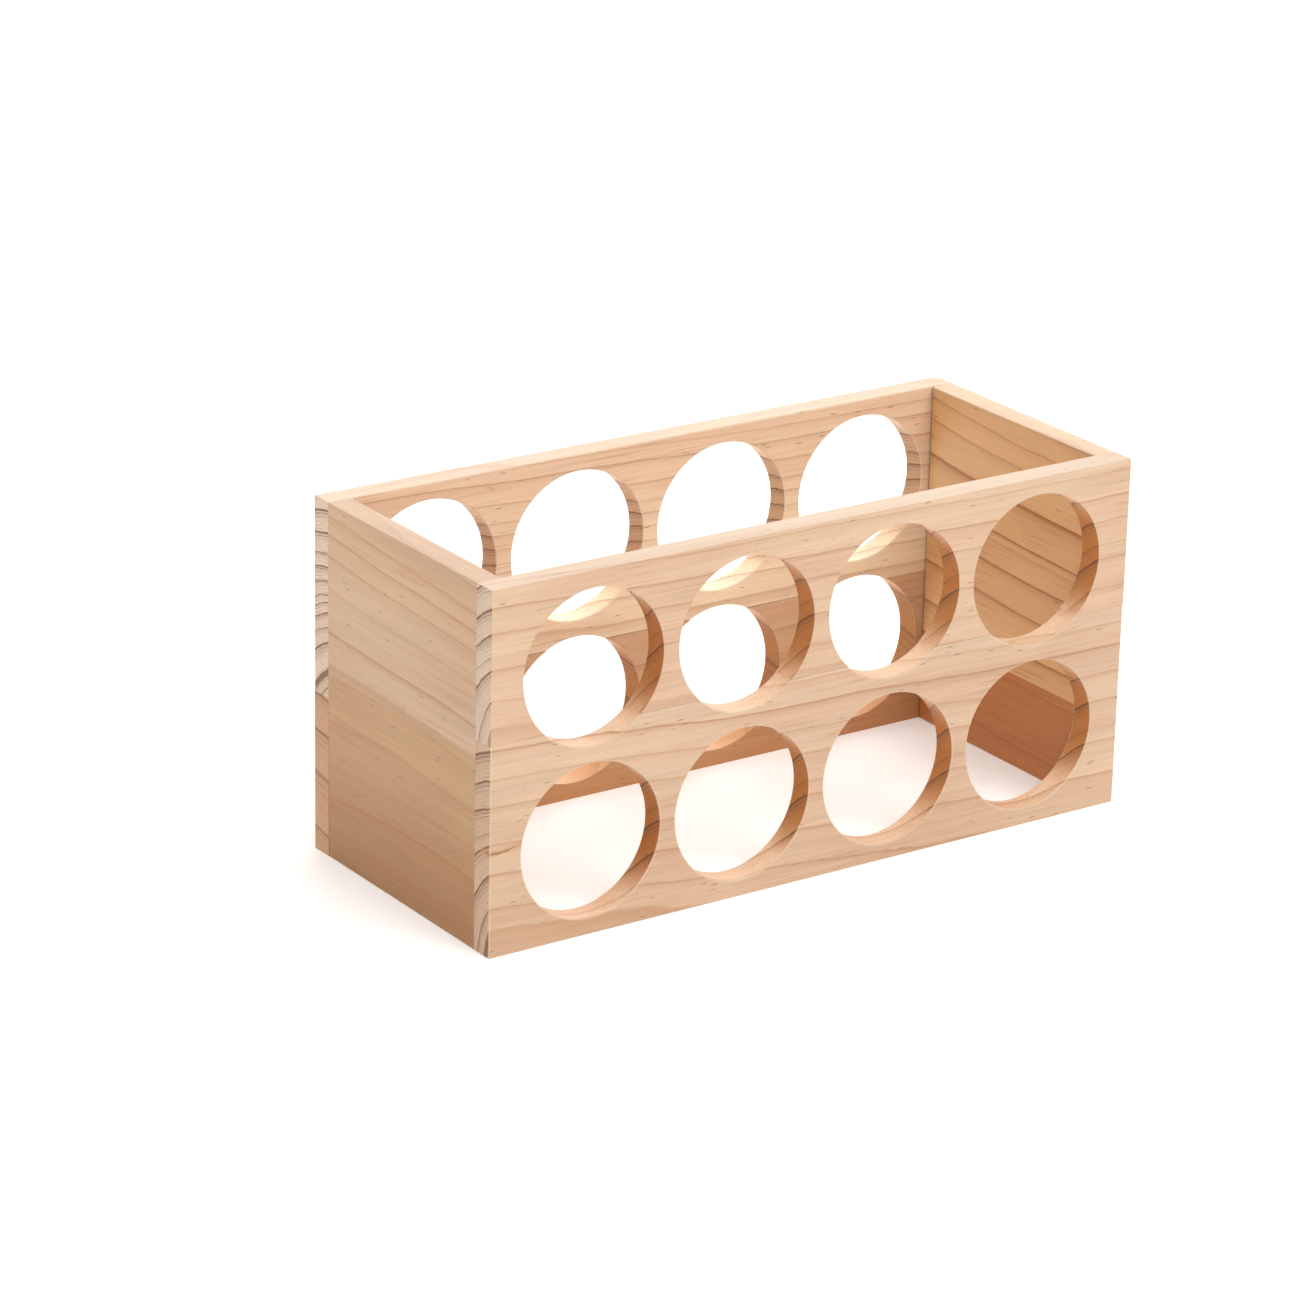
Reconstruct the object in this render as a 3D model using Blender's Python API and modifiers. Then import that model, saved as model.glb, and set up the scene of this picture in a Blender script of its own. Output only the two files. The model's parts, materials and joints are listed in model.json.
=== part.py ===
"""Bottle rack of solid pine: four boards round an open middle, bored for bottles.

The front and back boards run the whole length and have the same grid of round through holes,
so a bottle lies across the rack with its neck in one board and its body in the other. The end
panels stand between them. Every board is glued up from two staves, and hidden dowels hold
each corner.

Metres, +Z up. The origin is at the middle of the footprint, on the surface the rack stands on.
X runs along the rack and the front faces -Y.
"""

import math

import bmesh
import bpy
from mathutils import Matrix, Vector

# Overall sizes
LENGTH = 0.430
DEPTH = 0.182
HEIGHT = 0.210

# Boards
BOARD_THICKNESS = 0.015

# Bottle holes: as many as fit inside the margins, with the grid in the middle of the board
HOLE_DIAMETER = 0.090
HOLE_WEB = 0.010  # wood between two holes
END_MARGIN = 0.020  # least wood from a hole to the end of its board
EDGE_MARGIN = 0.010  # least wood from a hole to the top or bottom edge
HOLE_SEGMENTS = 64

# The line where a board's two staves are glued, measured down from its top edge
FRONT_GLUE_LINE = 0.088
BACK_GLUE_LINE = 0.115
LEFT_GLUE_LINE = 0.100
RIGHT_GLUE_LINE = 0.153

# Dowels, which lie along Y: one end in the face of a long board, the other in an end panel
DOWEL_DIAMETER = 0.008
DOWEL_LENGTH = 0.030
DOWEL_IN_BOARD = 0.010  # how far a dowel goes into the long board
DOWEL_CHAMFER = 0.001
DOWEL_SEGMENTS = 16
DOWELS_PER_STAVE = 2
SOCKET_END_ROOM = 0.001  # room for glue past each end of a dowel

GLUE_GAP = 0.0003  # between any two glued faces
CUTTER_OVERRUN = 0.010  # how far a hole's cutter reaches past the wood
FIT_DECIMALS = 6  # rounding before a count of holes is cut to a whole number

PINE_LIGHT = (0.78, 0.56, 0.37)
PINE_WARM = (0.71, 0.48, 0.29)
BEECH = (0.66, 0.44, 0.28)
SMOOTH_BELOW = math.radians(40)


def clear_scene():
    for obj in list(bpy.data.objects):
        bpy.data.objects.remove(obj, do_unlink=True)


def new_collection(name):
    collection = bpy.data.collections.new(name)
    bpy.context.scene.collection.children.link(collection)
    return collection


def wood(name, colour, roughness):
    material = bpy.data.materials.new(name)
    material.use_nodes = True
    shader = material.node_tree.nodes["Principled BSDF"]
    shader.inputs["Base Color"].default_value = (*colour, 1.0)
    shader.inputs["Roughness"].default_value = roughness
    shader.inputs["Metallic"].default_value = 0.0
    return material


def object_from(bm, name, location, collection):
    mesh = bpy.data.meshes.new(name)
    bm.to_mesh(mesh)
    bm.free()
    obj = bpy.data.objects.new(name, mesh)
    obj.location = location
    collection.objects.link(obj)
    return obj


def block(name, size, location, collection):
    """A box of this size about its location."""
    bm = bmesh.new()
    bmesh.ops.create_cube(bm, size=1.0)
    bmesh.ops.scale(bm, vec=size, verts=bm.verts)
    return object_from(bm, name, location, collection)


def round_bar(name, diameter, length, segments, location, collection):
    """A cylinder along Y about its location."""
    bm = bmesh.new()
    bmesh.ops.create_cone(
        bm,
        cap_ends=True,
        segments=segments,
        radius1=diameter / 2,
        radius2=diameter / 2,
        depth=length,
        matrix=Matrix.Rotation(math.radians(90), 4, "X"),
    )
    return object_from(bm, name, location, collection)


def holes_that_fit(span, margin):
    """How many holes go in a row of this span with at least the margin at both ends."""
    count = (span - 2 * margin + HOLE_WEB) / (HOLE_DIAMETER + HOLE_WEB)
    return math.floor(round(count, FIT_DECIMALS))


def centred_row(count):
    """The places of this many holes, measured from the middle of their row."""
    return [(i - (count - 1) / 2) * (HOLE_DIAMETER + HOLE_WEB) for i in range(count)]


def bottle_hole_cutters(collection):
    """One long cylinder for each pair of holes, so that front and back line up."""
    columns = centred_row(holes_that_fit(LENGTH, END_MARGIN))
    rows = centred_row(holes_that_fit(HEIGHT, EDGE_MARGIN))
    for row, z in enumerate(rows):
        for column, x in enumerate(columns):
            cutter = round_bar(
                f"bottle_hole_{row + 1}_{column + 1}",
                HOLE_DIAMETER,
                DEPTH + 2 * CUTTER_OVERRUN,
                HOLE_SEGMENTS,
                Vector((x, 0, HEIGHT / 2 + z)),
                collection,
            )
            hide_cutter(cutter)


def hide_cutter(cutter):
    cutter.hide_render = True
    cutter.display_type = "WIRE"


def cut_with(obj, cutters):
    boolean = obj.modifiers.new(cutters.name, "BOOLEAN")
    boolean.operation = "DIFFERENCE"
    boolean.solver = "EXACT"
    boolean.operand_type = "COLLECTION"
    boolean.collection = cutters


def glued_board(name, size_x, size_y, centre_x, centre_y, glue_line, material, parts):
    """A board's upper and lower stave, with the glue gap between them."""
    glue_z = HEIGHT - glue_line
    staves = (
        (f"{name}_upper_stave", glue_z + GLUE_GAP / 2, HEIGHT),
        (f"{name}_lower_stave", 0.0, glue_z - GLUE_GAP / 2),
    )
    made = []
    for stave_name, bottom, top in staves:
        stave = block(
            stave_name,
            Vector((size_x, size_y, top - bottom)),
            Vector((centre_x, centre_y, (top + bottom) / 2)),
            parts,
        )
        stave.data.materials.append(material)
        made.append(stave)
    return made


def long_boards(parts, hole_cutters, socket_cutters):
    """The front and back boards, over the whole length, bored for the bottles."""
    pine = wood("pine_board", PINE_LIGHT, 0.55)
    centre_y = DEPTH / 2 - BOARD_THICKNESS / 2
    boards = (("front_board", -1, FRONT_GLUE_LINE), ("back_board", 1, BACK_GLUE_LINE))
    for name, side, glue_line in boards:
        for stave in glued_board(
            name, LENGTH, BOARD_THICKNESS, 0.0, side * centre_y, glue_line, pine, parts
        ):
            cut_with(stave, hole_cutters)
            cut_with(stave, socket_cutters)


def end_panels(parts, socket_cutters):
    """The two end panels, which stand between the long boards."""
    pine = wood("pine_end_panel", PINE_WARM, 0.55)
    centre_x = LENGTH / 2 - BOARD_THICKNESS / 2
    panel_depth = DEPTH - 2 * BOARD_THICKNESS - 2 * GLUE_GAP
    panels = (("left_end", -1, LEFT_GLUE_LINE), ("right_end", 1, RIGHT_GLUE_LINE))
    for name, side, glue_line in panels:
        for stave in glued_board(
            name, BOARD_THICKNESS, panel_depth, side * centre_x, 0.0, glue_line, pine, parts
        ):
            cut_with(stave, socket_cutters)


def dowel_heights(board_glue_line, panel_glue_line):
    """Dowel heights at one corner, from the top down, clear of both glue lines there."""
    zones = (
        (0.0, min(board_glue_line, panel_glue_line)),
        (max(board_glue_line, panel_glue_line), HEIGHT),
    )
    heights = []
    for start, end in zones:
        step = (end - start) / DOWELS_PER_STAVE
        for i in range(DOWELS_PER_STAVE):
            heights.append(HEIGHT - start - step * (i + 0.5))
    return heights


def dowels(parts, socket_cutters):
    """The dowels of all four corners, and a socket cutter round each."""
    beech = wood("beech_dowel", BEECH, 0.6)
    x = LENGTH / 2 - BOARD_THICKNESS / 2
    y = DEPTH / 2 - BOARD_THICKNESS + DOWEL_IN_BOARD - DOWEL_LENGTH / 2
    boards = (("front", -1, FRONT_GLUE_LINE), ("back", 1, BACK_GLUE_LINE))
    panels = (("left", -1, LEFT_GLUE_LINE), ("right", 1, RIGHT_GLUE_LINE))
    for board, side_y, board_line in boards:
        for panel, side_x, panel_line in panels:
            for number, z in enumerate(dowel_heights(board_line, panel_line), start=1):
                place = Vector((side_x * x, side_y * y, z))
                dowel = round_bar(
                    f"dowel_{board}_{panel}_{number}",
                    DOWEL_DIAMETER,
                    DOWEL_LENGTH,
                    DOWEL_SEGMENTS,
                    place,
                    parts,
                )
                chamfer_ends(dowel)
                dowel.data.materials.append(beech)
                dowel.data.shade_smooth()
                dowel.data.set_sharp_from_angle(angle=SMOOTH_BELOW)
                socket = round_bar(
                    f"socket_{board}_{panel}_{number}",
                    DOWEL_DIAMETER + 2 * GLUE_GAP,
                    DOWEL_LENGTH + 2 * SOCKET_END_ROOM,
                    DOWEL_SEGMENTS,
                    place,
                    socket_cutters,
                )
                hide_cutter(socket)


def chamfer_ends(dowel):
    bevel = dowel.modifiers.new("end_chamfer", "BEVEL")
    bevel.width = DOWEL_CHAMFER
    bevel.segments = 1
    bevel.limit_method = "ANGLE"
    bevel.angle_limit = SMOOTH_BELOW


def main():
    clear_scene()
    parts = new_collection("bottle_rack")
    hole_cutters = new_collection("bottle_hole_cutters")
    socket_cutters = new_collection("dowel_socket_cutters")
    bottle_hole_cutters(hole_cutters)
    dowels(parts, socket_cutters)
    long_boards(parts, hole_cutters, socket_cutters)
    end_panels(parts, socket_cutters)


main()
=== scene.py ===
"""Pine bottle rack: turns the plain solids of the rack into finished boards on a studio floor.

Every board is built again with smooth bores and eased edges, and cut from a solid block of
procedural pine: growth rings run through the wood, so that faces, edges, end grain and the
walls of the bores all show the same rings. The corner dowels are built with pressed flutes.
"""

import json
import math
from typing import NamedTuple

import bmesh
import bpy
from bpy.props import FloatProperty, FloatVectorProperty, IntProperty, PointerProperty
from mathutils import Matrix, Vector


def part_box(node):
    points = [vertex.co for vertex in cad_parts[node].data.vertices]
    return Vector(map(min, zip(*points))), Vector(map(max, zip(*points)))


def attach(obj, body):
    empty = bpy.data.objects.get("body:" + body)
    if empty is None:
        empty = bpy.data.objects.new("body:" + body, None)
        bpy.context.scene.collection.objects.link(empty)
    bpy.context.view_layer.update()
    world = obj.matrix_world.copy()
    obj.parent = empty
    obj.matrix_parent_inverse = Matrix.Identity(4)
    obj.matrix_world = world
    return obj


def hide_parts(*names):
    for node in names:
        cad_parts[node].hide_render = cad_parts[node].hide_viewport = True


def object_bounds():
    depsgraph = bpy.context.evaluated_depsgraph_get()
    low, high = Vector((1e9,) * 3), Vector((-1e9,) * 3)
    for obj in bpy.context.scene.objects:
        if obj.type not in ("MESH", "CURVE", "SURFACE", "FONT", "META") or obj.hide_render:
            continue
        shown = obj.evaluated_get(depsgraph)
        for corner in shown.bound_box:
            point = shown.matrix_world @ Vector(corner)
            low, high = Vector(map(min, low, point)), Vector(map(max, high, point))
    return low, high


bl_info = {
    "name": "Pine Bottle Rack",
    "version": (1, 0, 0),
    "blender": (4, 5, 0),
    "location": "3D View > Sidebar > Rack",
    "description": "Builds a dowelled pine bottle rack with solid procedural wood",
    "category": "Object",
}

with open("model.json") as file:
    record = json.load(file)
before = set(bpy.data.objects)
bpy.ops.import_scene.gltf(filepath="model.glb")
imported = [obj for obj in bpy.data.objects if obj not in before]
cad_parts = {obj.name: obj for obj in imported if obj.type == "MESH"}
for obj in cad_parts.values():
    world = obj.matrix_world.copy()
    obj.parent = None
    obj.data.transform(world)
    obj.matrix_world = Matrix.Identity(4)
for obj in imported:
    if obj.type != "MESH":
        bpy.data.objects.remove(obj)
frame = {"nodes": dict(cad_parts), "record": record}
CAD_LOW, CAD_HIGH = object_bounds()

MM_IN_METRE = 1000

# Boards
ON_PLANE = 0.00005  # how near a point counts as lying on a face of the rack
ON_WALL = 0.002  # how near the middle of a face lies to the bore whose wall it belongs to
WALL_TILT = 0.01  # how far the wall of a bore may face along the bore
CUT_SNAP = 1e-6  # how near a point counts as lying on a cut
CREASE = math.radians(30)  # edges of a board that turn more than this stay crisp
BORE_OVERRUN = 0.010  # how far a boring tool reaches past the wood
SOCKET_SIDES = 48
SOCKET_ROOM = 0.001  # how much longer a socket is than its dowel and the glue round it

# Dowels
POINTS_PER_FLUTE = 6
CHAMFER_DEPTH = 0.7  # depth of a dowel's chamfer for each unit of its width
DOWEL_CREASE = math.radians(40)
DOWEL_SEED_STEP = 0.37

# Finish, and the painted light of the bores
FACE_GLOSS = 0.3  # specular level of the lacquered faces
DULL_GLOSS = 0.12  # the same where the lacquer has soaked in: bores, and the rounded edges that carry the painted highlight
BORE_LIGHT = 1.45  # painted light: how much paler the wood of a bore's wall is painted than the lacquered faces, for the light on the bottoms of the bores

# Studio
FLOOR_REACH = 15.0  # from the middle of the floor to its edges
FLOOR_ROUGHNESS = 0.9
FLOOR_GLOSS = 0.1
ROOM_COLOUR = (1.0, 0.985, 0.965, 1.0)
SOFT_BOX_PLACE = (1.7, 2.46, 1.25)
SOFT_BOX_AIM = (0.0, 0.0, 0.1)
SOFT_BOX_WIDTH = 2.4
SOFT_BOX_COLOUR = (1.0, 0.99, 0.97)
KEY_DIRECTION = (0.16, -0.62, 0.77)  # from the rack to the light
KEY_SPREAD = math.radians(35)
KEY_COLOUR = (1.0, 0.98, 0.95)
SENSOR_WIDTH = 36.0  # millimetres
SIGHT_LIMIT = 100.0


class Log(NamedTuple):
    """How a stave was cut from its log. The pith is placed from the middle of the stave's
    outer face and the surface that the rack stands on, and radii are in millimetres too."""

    pith: tuple  # millimetres out from the outer face, and up
    run: tuple  # metres that the grain moves out, climbs and bows for each metre along
    rings: tuple  # radius and darkness of the late wood of each ring
    heart: tuple  # radii between which the colour goes from heartwood to sapwood
    heartwood: tuple
    sapwood: tuple
    seed: float
    inner: tuple = (1.0, 1.0, 1.0)  # painted light and shade: tint of the faces inside the rack, darker and warmer where shade falls inside, paler on the back board's upper stave
    raw: float = 0.35  # how far sanded end grain takes the colour of the heartwood
    bore_shade: float = 1.0  # painted shade: how far the end grain on the walls of the bores is darkened towards the shade colour


PINK = (0.575, 0.392, 0.272)
CREAM = (0.585, 0.410, 0.284)
TAN = (0.660, 0.440, 0.265)
BROWN = (0.460, 0.268, 0.134)
RED = (0.560, 0.320, 0.165)

LOGS = {
    "front_board_upper_stave": Log(
        pith=(34, 108.5),
        run=(0.0, -0.022, 0.037),
        rings=((38, 0.3), (47, 0.4), (61, 0.6), (68, 0.3), (79.7, 0.6), (92.5, 0.7), (106, 0.5)),
        heart=(30, 90),
        heartwood=PINK,
        sapwood=CREAM,
        seed=1.0,
    ),
    "front_board_lower_stave": Log(
        pith=(45, -15.9),
        run=(0.02, -0.042, 0.039),
        rings=(
            (46, 0.5),
            (52, 0.7),
            (65.4, 0.7),
            (81, 0.55),
            (88, 0.3),
            (102.6, 0.6),
            (117, 0.5),
            (132, 0.9),
            (145, 0.4),
        ),
        heart=(40, 120),
        heartwood=(0.535, 0.360, 0.245),
        sapwood=(0.555, 0.386, 0.268),
        seed=2.0,
        raw=0.9,
    ),
    # Painted light: this stave's heartwood is paler than its sapwood and its pith lies below it,
    # so it pales towards its lower edge, where shade falls on its inner face.
    "back_board_upper_stave": Log(
        pith=(-35, 60),
        run=(0.02, -0.03, 0.02),
        rings=(
            (50, 0.5),
            (63, 0.6),
            (71, 0.4),
            (79, 0.7),
            (85, 0.5),
            (90, 0.6),
            (99, 0.5),
            (108, 0.7),
            (116, 0.5),
            (128, 0.6),
            (141, 0.7),
            (150, 0.5),
        ),
        heart=(60, 130),
        heartwood=(0.73, 0.545, 0.385),
        sapwood=(0.70, 0.49, 0.345),
        seed=3.0,
        inner=(1.04, 1.04, 1.03),
        bore_shade=0.55,
    ),
    # Darker and redder towards the bottom.
    "back_board_lower_stave": Log(
        pith=(20, -70),
        run=(0.03, 0.03, 0.0),
        rings=((75, 0.4), (92, 0.35), (125, 0.3), (150, 0.4), (170, 0.4)),
        heart=(70, 150),
        heartwood=(0.52, 0.26, 0.12),
        sapwood=(0.60, 0.38, 0.24),
        seed=4.0,
        inner=(0.93, 0.88, 0.82),
        raw=0.8,
        bore_shade=0.55,
    ),
    "left_end_upper_stave": Log(
        pith=(60, 60),
        run=(0.0, 0.06, -0.1),
        rings=(
            (80, 0.5),
            (94.5, 0.9),
            (114.5, 0.35),
            (130.5, 0.6),
            (141, 0.85),
            (151, 0.6),
            (164, 0.4),
        ),
        heart=(90, 150),
        heartwood=(0.535, 0.352, 0.230),
        sapwood=(0.545, 0.356, 0.213),
        seed=5.0,
    ),
    # Darker and browner towards the bottom.
    "left_end_lower_stave": Log(
        pith=(75, -30),
        run=(0.0, 0.02, -0.5),
        rings=((80, 0.5), (88, 0.7), (103, 1.8), (116, 0.4), (138, 0.5), (160, 0.4)),
        heart=(84, 140),
        heartwood=(0.355, 0.172, 0.073),
        sapwood=BROWN,
        seed=6.0,
    ),
    "right_end_upper_stave": Log(
        pith=(50, -20),
        run=(0.0, 0.05, 0.3),
        rings=(
            (92, 0.6),
            (113.5, 1.1),
            (133, 1.1),
            (152, 1.3),
            (166, 0.6),
            (171, 3.0),
            (195, 1.5),
            (215, 0.7),
            (228, 0.7),
        ),
        heart=(100, 200),
        heartwood=TAN,
        sapwood=TAN,
        seed=7.0,
        inner=(1.06, 0.93, 0.74),
    ),
    "right_end_lower_stave": Log(
        pith=(60, -60),
        run=(0.0, 0.02, 0.2),
        rings=((90, 0.4), (105, 0.5), (108, 0.4), (135, 0.5), (139, 0.3), (160, 0.4)),
        heart=(90, 200),
        heartwood=RED,
        sapwood=RED,
        seed=8.0,
        inner=(0.88, 0.59, 0.37),
    ),
}


class RackBoards(bpy.types.PropertyGroup):
    """Shape of the boards."""

    edge_round: FloatProperty(
        name="Edge Round",
        description="Radius on the outer edges of the boards",
        default=0.0007,
        min=0.0001,
        unit="LENGTH",
    )
    round_steps: IntProperty(
        name="Round Steps",
        description="Faces across each rounded edge",
        default=3,
        min=1,
    )
    bore_sides: IntProperty(
        name="Bore Sides",
        description="Faces round each bottle hole",
        default=192,
        min=16,
    )
    glue_film: FloatProperty(
        name="Glue Film",
        description="Gap between two glued faces",
        default=0.00004,
        min=0.00001,
        precision=5,
        unit="LENGTH",
    )
    open_corner: FloatProperty(
        name="Open Corner",
        description="How far the joint of the right end and the back board gapes inside",
        default=0.0009,
        precision=5,
        unit="LENGTH",
    )
    open_foot: FloatProperty(
        name="Open Foot",
        description="How far the left end has shrunk from the back board at its foot",
        default=0.0005,
        precision=5,
        unit="LENGTH",
    )


class RackWood(bpy.types.PropertyGroup):
    """Colours and finish of the wood, with the painted shade of the bores and the painted
    highlight on the rounded edges.
    """

    late: FloatVectorProperty(
        name="Late Wood",
        description="The dark line at the end of each ring",
        subtype="COLOR",
        default=(0.355, 0.152, 0.054),
    )
    # Painted shade: the end grain on the walls of the bores is painted this dark colour for the
    # shade inside the bores.
    bored: FloatVectorProperty(
        name="Bored End Grain",
        description="Spring growth on end grain burnished by the boring tool",
        subtype="COLOR",
        default=(0.48, 0.19, 0.058),
    )
    sawn: FloatVectorProperty(
        name="Sanded End Grain",
        description="Spring growth on sanded end grain",
        subtype="COLOR",
        default=(0.63, 0.50, 0.41),
    )
    end_late: FloatVectorProperty(
        name="Late End Grain",
        description="The dark line at the end of each ring, on end grain",
        subtype="COLOR",
        default=(0.20, 0.095, 0.048),
    )
    # Painted highlight on the rounded edges: its colour, then how far the edges pale to it.
    edge_highlight: FloatVectorProperty(
        name="Highlit Edge",
        description="Colour that the wood pales to where an edge is rubbed",
        subtype="COLOR",
        default=(0.74, 0.60, 0.46),
    )
    edge_highlight_share: FloatProperty(
        name="Edge Highlight",
        description="How far the rubbed edges have paled",
        default=0.5,
        min=0.0,
        max=1.0,
        subtype="FACTOR",
    )
    roughness: FloatProperty(
        name="Roughness",
        description="Roughness of the thin lacquer",
        default=0.42,
        min=0.0,
        max=1.0,
        subtype="FACTOR",
    )


class RackDowels(bpy.types.PropertyGroup):
    """Shape and colour of the dowels."""

    flutes: IntProperty(
        name="Flutes", description="Grooves round a dowel", default=16, min=6
    )
    flute_depth: FloatProperty(
        name="Flute Depth",
        description="Depth of each groove",
        default=0.00035,
        unit="LENGTH",
    )
    chamfer: FloatProperty(
        name="Chamfer",
        description="Width of the chamfer on each end",
        default=0.001,
        unit="LENGTH",
    )
    beech: FloatVectorProperty(
        name="Beech",
        description="Colour of the dowels",
        subtype="COLOR",
        default=(0.62, 0.40, 0.25),
    )


class RackStage(bpy.types.PropertyGroup):
    """Floor, lights and camera."""

    azimuth: FloatProperty(
        name="Azimuth",
        description="Turn of the camera round the rack, from straight in front",
        default=math.radians(-34.7),
        subtype="ANGLE",
    )
    elevation: FloatProperty(
        name="Elevation",
        description="Height of the camera above the horizon",
        default=math.radians(20.45),
        subtype="ANGLE",
    )
    roll: FloatProperty(
        name="Roll",
        description="Turn of the camera about its own line of sight",
        default=math.radians(1.25),
        subtype="ANGLE",
    )
    distance: FloatProperty(
        name="Distance",
        description="From the camera to the point it looks at",
        default=2.7855,
        unit="LENGTH",
    )
    lens: FloatProperty(
        name="Lens", description="Focal length in millimetres", default=137.87
    )
    aim: FloatVectorProperty(
        name="Aim",
        description="The point that the camera looks at",
        subtype="TRANSLATION",
        default=(-0.05125, 0.0, 0.11645),
    )
    floor: FloatVectorProperty(
        name="Floor",
        description="Colour of the floor",
        subtype="COLOR",
        default=(0.95, 0.95, 0.95),
    )
    ambient: FloatProperty(
        name="Ambient", description="Strength of the white surroundings", default=0.90
    )
    key: FloatProperty(
        name="Key Light",
        description="Strength of the light from above and in front on the right",
        default=1.44,
    )
    glow: FloatProperty(
        name="Floor Glow", description="Light that the floor itself gives off", default=0.18
    )
    back: FloatProperty(
        name="Soft Box",
        description="Power of the soft box behind the rack",
        default=31.0,
        unit="POWER",
    )


NOISE_SPREAD = (0.25, 0.75)


class Shader:
    """Adds nodes to a node tree, one call each, and hands back the socket with the result."""

    def __init__(self, tree):
        self.tree = tree

    def add(self, kind):
        return self.tree.nodes.new(kind)

    def feed(self, socket, value):
        if isinstance(value, bpy.types.NodeSocket):
            self.tree.links.new(value, socket)
        else:
            socket.default_value = value

    def feed_all(self, sockets, values):
        for socket, value in zip(sockets, values):
            self.feed(socket, value)

    def maths(self, operation, *values):
        node = self.add("ShaderNodeMath")
        node.operation = operation
        self.feed_all(node.inputs, values)
        return node.outputs["Value"]

    def vector(self, operation, *values):
        node = self.add("ShaderNodeVectorMath")
        node.operation = operation
        self.feed_all(node.inputs, values)
        return node.outputs["Vector"]

    def length(self, vector):
        node = self.add("ShaderNodeVectorMath")
        node.operation = "LENGTH"
        self.feed(node.inputs[0], vector)
        return node.outputs["Value"]

    def scaled(self, vector, factor):
        node = self.add("ShaderNodeVectorMath")
        node.operation = "SCALE"
        self.feed(node.inputs[0], vector)
        self.feed(node.inputs["Scale"], factor)
        return node.outputs["Vector"]

    def join(self, x, y, z):
        node = self.add("ShaderNodeCombineXYZ")
        self.feed_all(node.inputs, (x, y, z))
        return node.outputs["Vector"]

    def split(self, vector):
        node = self.add("ShaderNodeSeparateXYZ")
        self.feed(node.inputs["Vector"], vector)
        return node.outputs["X"], node.outputs["Y"], node.outputs["Z"]

    def noise(self, place, per_metre, detail=2.0, roughness=0.5, output="Fac"):
        """Noise with about this many features to the metre along each axis."""
        scaled_place = self.vector("MULTIPLY", place, per_metre)
        node = self.add("ShaderNodeTexNoise")
        self.feed(node.inputs["Vector"], scaled_place)
        self.feed(node.inputs["Scale"], 1.0)
        self.feed(node.inputs["Detail"], detail)
        self.feed(node.inputs["Roughness"], roughness)
        return node.outputs[output]

    def drift(self, place, per_metre, detail):
        """Noise that pushes a place either way, along all three axes."""
        colour = self.noise(place, per_metre, detail, output="Color")
        return self.vector("SUBTRACT", colour, (0.5, 0.5, 0.5))

    def level(self, value, to_low, to_high):
        """The usual spread of a noise brought to another one in a line."""
        return self.ranged(value, *NOISE_SPREAD, to_low, to_high, "LINEAR")

    def ranged(self, value, low, high, to_low=0.0, to_high=1.0, kind="SMOOTHSTEP"):
        node = self.add("ShaderNodeMapRange")
        node.interpolation_type = kind
        self.feed_all(node.inputs, (value, low, high, to_low, to_high))
        return node.outputs["Result"]

    def ramp(self, value, stops, kind="LINEAR"):
        """A grey ramp through these (place, height) stops."""
        node = self.add("ShaderNodeValToRGB")
        node.color_ramp.interpolation = kind
        elements = node.color_ramp.elements
        while len(elements) < len(stops):
            elements.new(1.0)
        for element, (place, height) in zip(elements, stops):
            element.position = place
            element.color = (height, height, height, 1.0)
        self.feed(node.inputs["Fac"], value)
        return node.outputs["Color"]

    def blend(self, share, first, second, mode="MIX"):
        node = self.add("ShaderNodeMix")
        node.data_type = "RGBA"
        node.blend_type = mode
        self.feed(node.inputs["Factor"], share)
        colours = [socket for socket in node.inputs if socket.type == "RGBA"]
        self.feed_all(colours, (first, second))
        return next(socket for socket in node.outputs if socket.type == "RGBA")

    def group(self, tree, values):
        """A group node of this tree, fed by the names of its inputs."""
        node = self.add("ShaderNodeGroup")
        node.node_tree = tree
        for socket, value in values.items():
            self.feed(node.inputs[socket], value)
        return node.outputs


def opaque(colour):
    return (*colour, 1.0)


TRUNK_INPUTS = (
    ("Place", "NodeSocketVector"),
    ("Pith", "NodeSocketVector"),
    ("Run", "NodeSocketVector"),
    ("Bow", "NodeSocketVector"),
    ("Seed", "NodeSocketFloat"),
)
TRUNK_OUTPUTS = (("Radius", "NodeSocketFloat"),)
PINE_INPUTS = (
    ("Place", "NodeSocketVector"),
    ("Normal", "NodeSocketVector"),
    ("Radius", "NodeSocketFloat"),
    ("Growth", "NodeSocketFloat"),
    ("Strength", "NodeSocketFloat"),
    ("Seed", "NodeSocketFloat"),
    ("Early Wood", "NodeSocketColor"),
    ("Late Wood", "NodeSocketColor"),
    ("Late End Grain", "NodeSocketColor"),
    ("End Grain", "NodeSocketColor"),
    ("Check", "NodeSocketVector"),
    ("Roughness", "NodeSocketFloat"),
)
PINE_OUTPUTS = (
    ("Colour", "NodeSocketColor"),
    ("Roughness", "NodeSocketFloat"),
    ("Height", "NodeSocketFloat"),
)

# Through one year: spring wood, then a slow darkening to late wood that stops short. On end
# grain the late wood shows as a bunch of thin lines.
FACE_PROFILE = (
    (0.0, 0.5),
    (0.02, 0.0),
    (0.40, 0.0),
    (0.70, 0.10),
    (0.88, 0.30),
    (0.95, 0.75),
    (0.985, 1.15),
    (1.0, 0.5),
)
END_PROFILE = (
    (0.0, 0.5),
    (0.02, 0.0),
    (0.40, 0.02),
    (0.62, 0.08),
    (0.65, 0.45),
    (0.68, 0.08),
    (0.77, 0.14),
    (0.80, 0.75),
    (0.83, 0.16),
    (0.90, 0.32),
    (0.935, 1.0),
    (0.985, 1.0),
    (1.0, 0.5),
)
FACE_LATE = 0.85  # how dark the late wood is on faces
END_LATE = 2.0  # how dark the late wood is on end grain
HAIRLINES = 470.0  # faint lines between the rings for each metre of end grain
HAIR_LATE = 0.7  # how dark the faint lines are

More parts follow.
